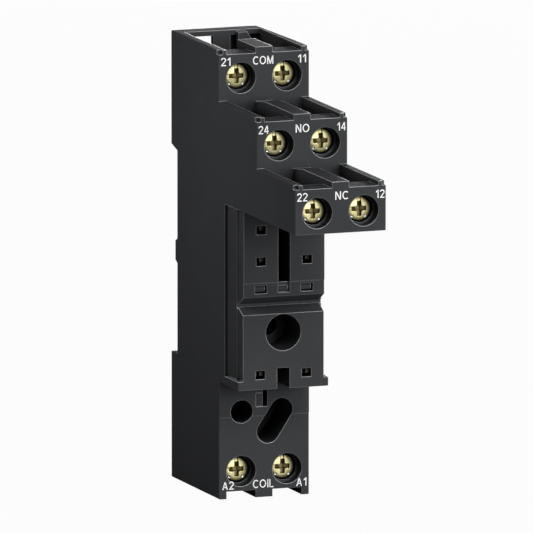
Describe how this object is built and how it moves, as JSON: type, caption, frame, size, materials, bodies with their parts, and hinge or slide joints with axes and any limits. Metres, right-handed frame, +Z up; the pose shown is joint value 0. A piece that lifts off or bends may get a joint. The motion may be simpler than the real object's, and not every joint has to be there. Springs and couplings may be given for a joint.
{
  "type": "relay socket",
  "caption": "Slim rail-mounting socket for a plug-in relay: stepped screw-clamp terminals above, relay seat in the middle, coil terminals below.",
  "frame": {"origin": "middle of the rail seat: the face that lies on the rail, on the rail's centre line", "axes": "+X across the width to the right, -Y towards the front, where the relay plugs in, +Z up towards the contact terminals"},
  "size_m": [0.0166, 0.0625, 0.0788],
  "materials": {
    "housing_plastic": "fine matt texture",
    "cover_plastic": "matt",
    "foot_plastic": "satin",
    "spring_steel": "drawn wire",
    "screw_plating": "yellow passivated zinc",
    "cage_plating": "zinc plated",
    "contact_metal": "nickel plated copper alloy"
  },
  "bodies": {
    "socket": {"housing": "housing_plastic", "back_cover": "cover_plastic", "foot_spring": "spring_steel", "contact_21": "contact_metal", "contact_11": "contact_metal", "contact_24": "contact_metal", "contact_14": "contact_metal", "contact_22": "contact_metal", "contact_12": "contact_metal", "contact_a2": "contact_metal", "contact_a1": "contact_metal"},
    "foot": {"rail_foot": "foot_plastic"},
    "screw_21": {"screw_21": "screw_plating"},
    "cage_21": {"clamp_cage_21": "cage_plating"},
    "screw_11": {"screw_11": "screw_plating"},
    "cage_11": {"clamp_cage_11": "cage_plating"},
    "screw_24": {"screw_24": "screw_plating"},
    "cage_24": {"clamp_cage_24": "cage_plating"},
    "screw_14": {"screw_14": "screw_plating"},
    "cage_14": {"clamp_cage_14": "cage_plating"},
    "screw_22": {"screw_22": "screw_plating"},
    "cage_22": {"clamp_cage_22": "cage_plating"},
    "screw_12": {"screw_12": "screw_plating"},
    "cage_12": {"clamp_cage_12": "cage_plating"},
    "screw_a2": {"screw_a2": "screw_plating"},
    "cage_a2": {"clamp_cage_a2": "cage_plating"},
    "screw_a1": {"screw_a1": "screw_plating"},
    "cage_a1": {"clamp_cage_a1": "cage_plating"}
  },
  "joints": [
    {"name": "foot_slide", "type": "slide", "parent": "socket", "child": "foot", "axis": [0, 0, -1], "range_m": [0, 0.0026], "stiffness_N_per_m": 4000, "springref_m": -0.002, "deforming": ["foot_spring"]},
    {"name": "screw_21_turn", "type": "hinge", "parent": "socket", "child": "screw_21", "pos_m": [-0.00422, -0.0181, 0.03315], "axis": [0, 1, 0], "range_deg": [0, 1800]},
    {"name": "cage_21_slide", "type": "slide", "parent": "socket", "child": "cage_21", "axis": [0, -1, 0], "range_m": [0, 0.0025]},
    {"name": "screw_11_turn", "type": "hinge", "parent": "socket", "child": "screw_11", "pos_m": [0.00422, -0.0181, 0.03315], "axis": [0, 1, 0], "range_deg": [0, 1800]},
    {"name": "cage_11_slide", "type": "slide", "parent": "socket", "child": "cage_11", "axis": [0, -1, 0], "range_m": [0, 0.0025]},
    {"name": "screw_24_turn", "type": "hinge", "parent": "socket", "child": "screw_24", "pos_m": [-0.00422, -0.0372, 0.0243], "axis": [0, 1, 0], "range_deg": [0, 1800]},
    {"name": "cage_24_slide", "type": "slide", "parent": "socket", "child": "cage_24", "axis": [0, -1, 0], "range_m": [0, 0.0025]},
    {"name": "screw_14_turn", "type": "hinge", "parent": "socket", "child": "screw_14", "pos_m": [0.00422, -0.0372, 0.0243], "axis": [0, 1, 0], "range_deg": [0, 1800]},
    {"name": "cage_14_slide", "type": "slide", "parent": "socket", "child": "cage_14", "axis": [0, -1, 0], "range_m": [0, 0.0025]},
    {"name": "screw_22_turn", "type": "hinge", "parent": "socket", "child": "screw_22", "pos_m": [-0.00422, -0.0563, 0.01545], "axis": [0, 1, 0], "range_deg": [0, 1800]},
    {"name": "cage_22_slide", "type": "slide", "parent": "socket", "child": "cage_22", "axis": [0, -1, 0], "range_m": [0, 0.0025]},
    {"name": "screw_12_turn", "type": "hinge", "parent": "socket", "child": "screw_12", "pos_m": [0.00422, -0.0563, 0.01545], "axis": [0, 1, 0], "range_deg": [0, 1800]},
    {"name": "cage_12_slide", "type": "slide", "parent": "socket", "child": "cage_12", "axis": [0, -1, 0], "range_m": [0, 0.0025]},
    {"name": "screw_a2_turn", "type": "hinge", "parent": "socket", "child": "screw_a2", "pos_m": [-0.00422, -0.0181, -0.03565], "axis": [0, 1, 0], "range_deg": [0, 1800]},
    {"name": "cage_a2_slide", "type": "slide", "parent": "socket", "child": "cage_a2", "axis": [0, -1, 0], "range_m": [0, 0.0025]},
    {"name": "screw_a1_turn", "type": "hinge", "parent": "socket", "child": "screw_a1", "pos_m": [0.00422, -0.0181, -0.03565], "axis": [0, 1, 0], "range_deg": [0, 1800]},
    {"name": "cage_a1_slide", "type": "slide", "parent": "socket", "child": "cage_a1", "axis": [0, -1, 0], "range_m": [0, 0.0025]}
  ],
  "couplings": [
    {"joint": "screw_21_turn", "follows": "cage_21_slide", "rad_per_m": 12566},
    {"joint": "screw_11_turn", "follows": "cage_11_slide", "rad_per_m": 12566},
    {"joint": "screw_24_turn", "follows": "cage_24_slide", "rad_per_m": 12566},
    {"joint": "screw_14_turn", "follows": "cage_14_slide", "rad_per_m": 12566},
    {"joint": "screw_22_turn", "follows": "cage_22_slide", "rad_per_m": 12566},
    {"joint": "screw_12_turn", "follows": "cage_12_slide", "rad_per_m": 12566},
    {"joint": "screw_a2_turn", "follows": "cage_a2_slide", "rad_per_m": 12566},
    {"joint": "screw_a1_turn", "follows": "cage_a1_slide", "rad_per_m": 12566}
  ]
}
